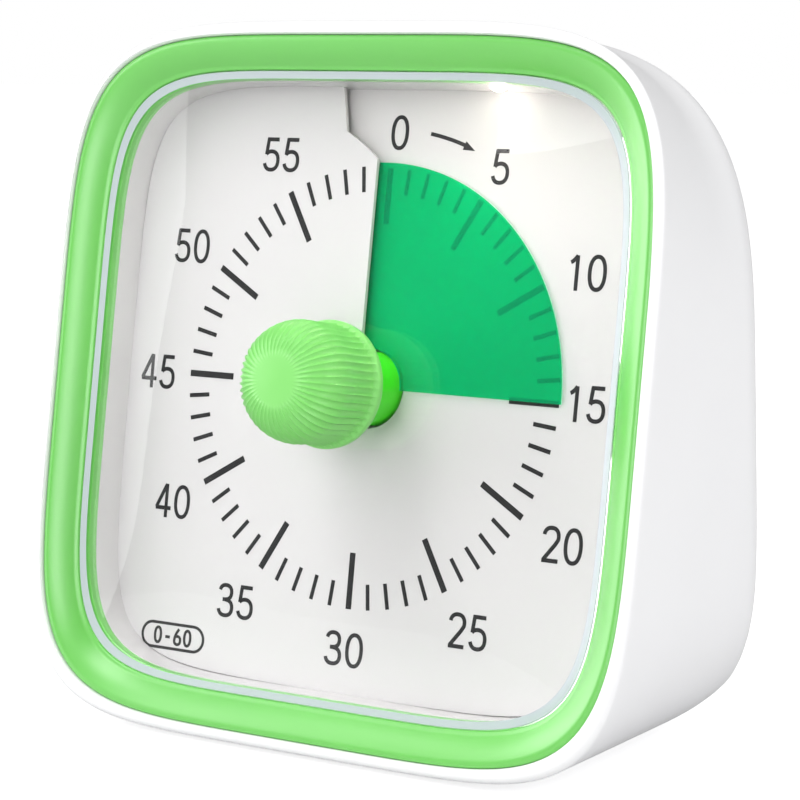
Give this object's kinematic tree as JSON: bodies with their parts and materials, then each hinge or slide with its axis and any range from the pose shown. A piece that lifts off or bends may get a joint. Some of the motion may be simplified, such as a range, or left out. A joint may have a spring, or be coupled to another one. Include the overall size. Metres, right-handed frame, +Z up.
{
  "type": "visual countdown timer",
  "caption": "Square desk timer: a fluted knob turns a coloured disc over a dial of minutes behind a clear lens in a coloured bezel, in a white case with a light and an alarm.",
  "frame": {"origin": "on the underside of the base pad, under the middle of the case", "axes": "+Z up; -Y towards the reader of the dial; +X to the right of the dial as it is read"},
  "size_m": [0.082, 0.0539, 0.0823],
  "materials": {
    "white_plastic": "satin",
    "green_plastic": "gloss",
    "clear_plastic": "clear, polished",
    "dial_sheet": "printed, matt",
    "green_film": "translucent film",
    "pad_rubber": "soft, matt",
    "steel": "plated",
    "nickel": "nickel-plated spring sheet",
    "brass": "cut",
    "ivory_plastic": "moulded acetal",
    "magnet": "sintered",
    "copper_wire": "enamelled copper winding",
    "board_green": "solder mask",
    "black_plastic": "moulded",
    "led_lens": "clear epoxy",
    "lead_sleeve": "insulated wire",
    "cell_can": "bare can"
  },
  "bodies": {
    "case": {"housing": "white_plastic", "bezel": "green_plastic", "lens": "clear_plastic", "dial_well": "white_plastic", "dial_plate": "dial_sheet", "chassis": "white_plastic", "chassis_screws": "steel", "base_pad": "pad_rubber", "movement_plate": "ivory_plastic", "movement_cover": "ivory_plastic", "movement_screws": "steel", "stator": "steel", "coil": "copper_wire", "alarm_contact": "nickel", "circuit_board": "board_green", "board_screws": "steel", "timer_chip": "black_plastic", "crystal": "steel", "buzzer": "black_plastic", "led_board": "board_green", "led": "led_lens", "led_leads": "lead_sleeve", "battery_box": "white_plastic", "cells": "cell_can", "battery_contacts": "nickel", "volume_switch": "steel", "light_switch": "black_plastic"},
    "timer_rotor": {"knob": "green_plastic", "hub": "green_plastic", "spindle": "steel", "spindle_wheel": "brass", "alarm_cam": "ivory_plastic"},
    "disc": {"film_disc": "green_film"},
    "third_arbor": {"third_wheel": "brass"},
    "fourth_arbor": {"fourth_wheel": "brass"},
    "motor_rotor": {"rotor": "magnet"},
    "door": {"battery_door": "white_plastic"},
    "slider": {"volume_slider": "green_plastic"},
    "button": {"light_button": "green_plastic"}
  },
  "joints": [
    {"name": "timer_turn", "type": "hinge", "parent": "case", "child": "timer_rotor", "pos_m": [0, -0.0084, 0.04057], "axis": [0, 0.9877, -0.1564], "range_deg": [-90, 270]},
    {"name": "disc_advance", "type": "slide", "parent": "timer_rotor", "child": "disc", "axis": [0, -0.9877, 0.1564], "range_m": [-0.0004, 0.0012]},
    {"name": "third_turn", "type": "hinge", "parent": "case", "child": "third_arbor", "pos_m": [0.00678, -0.00966, 0.03258], "axis": [0, 0.9877, -0.1564], "range_deg": [-1621, 541]},
    {"name": "fourth_turn", "type": "hinge", "parent": "case", "child": "fourth_arbor", "pos_m": [0.0126, -0.00858, 0.03943], "axis": [0, 0.9877, -0.1564], "range_deg": [-2701, 8101]},
    {"name": "motor_turn", "type": "hinge", "parent": "case", "child": "motor_rotor", "pos_m": [-0.0135, -0.00746, 0.04649], "axis": [0, 0.9877, -0.1564], "continuous": true},
    {"name": "door_hinge", "type": "hinge", "parent": "case", "child": "door", "pos_m": [0, 0.02514, 0.02084], "axis": [-1, 0, 0], "range_deg": [0, 100]},
    {"name": "volume_slide", "type": "slide", "parent": "case", "child": "slider", "axis": [1, 0, 0], "range_m": [0, 0.004]},
    {"name": "light_press", "type": "slide", "parent": "case", "child": "button", "axis": [0, -0.9982, -0.0593], "range_m": [0, 0.001], "stiffness_N_per_m": 300, "springref_m": -0.001}
  ],
  "couplings": [
    {"joint": "timer_turn", "follows": "disc_advance", "rad_per_m": 3927},
    {"joint": "third_turn", "follows": "disc_advance", "rad_per_m": -23562},
    {"joint": "fourth_turn", "follows": "disc_advance", "rad_per_m": 117810}
  ]
}
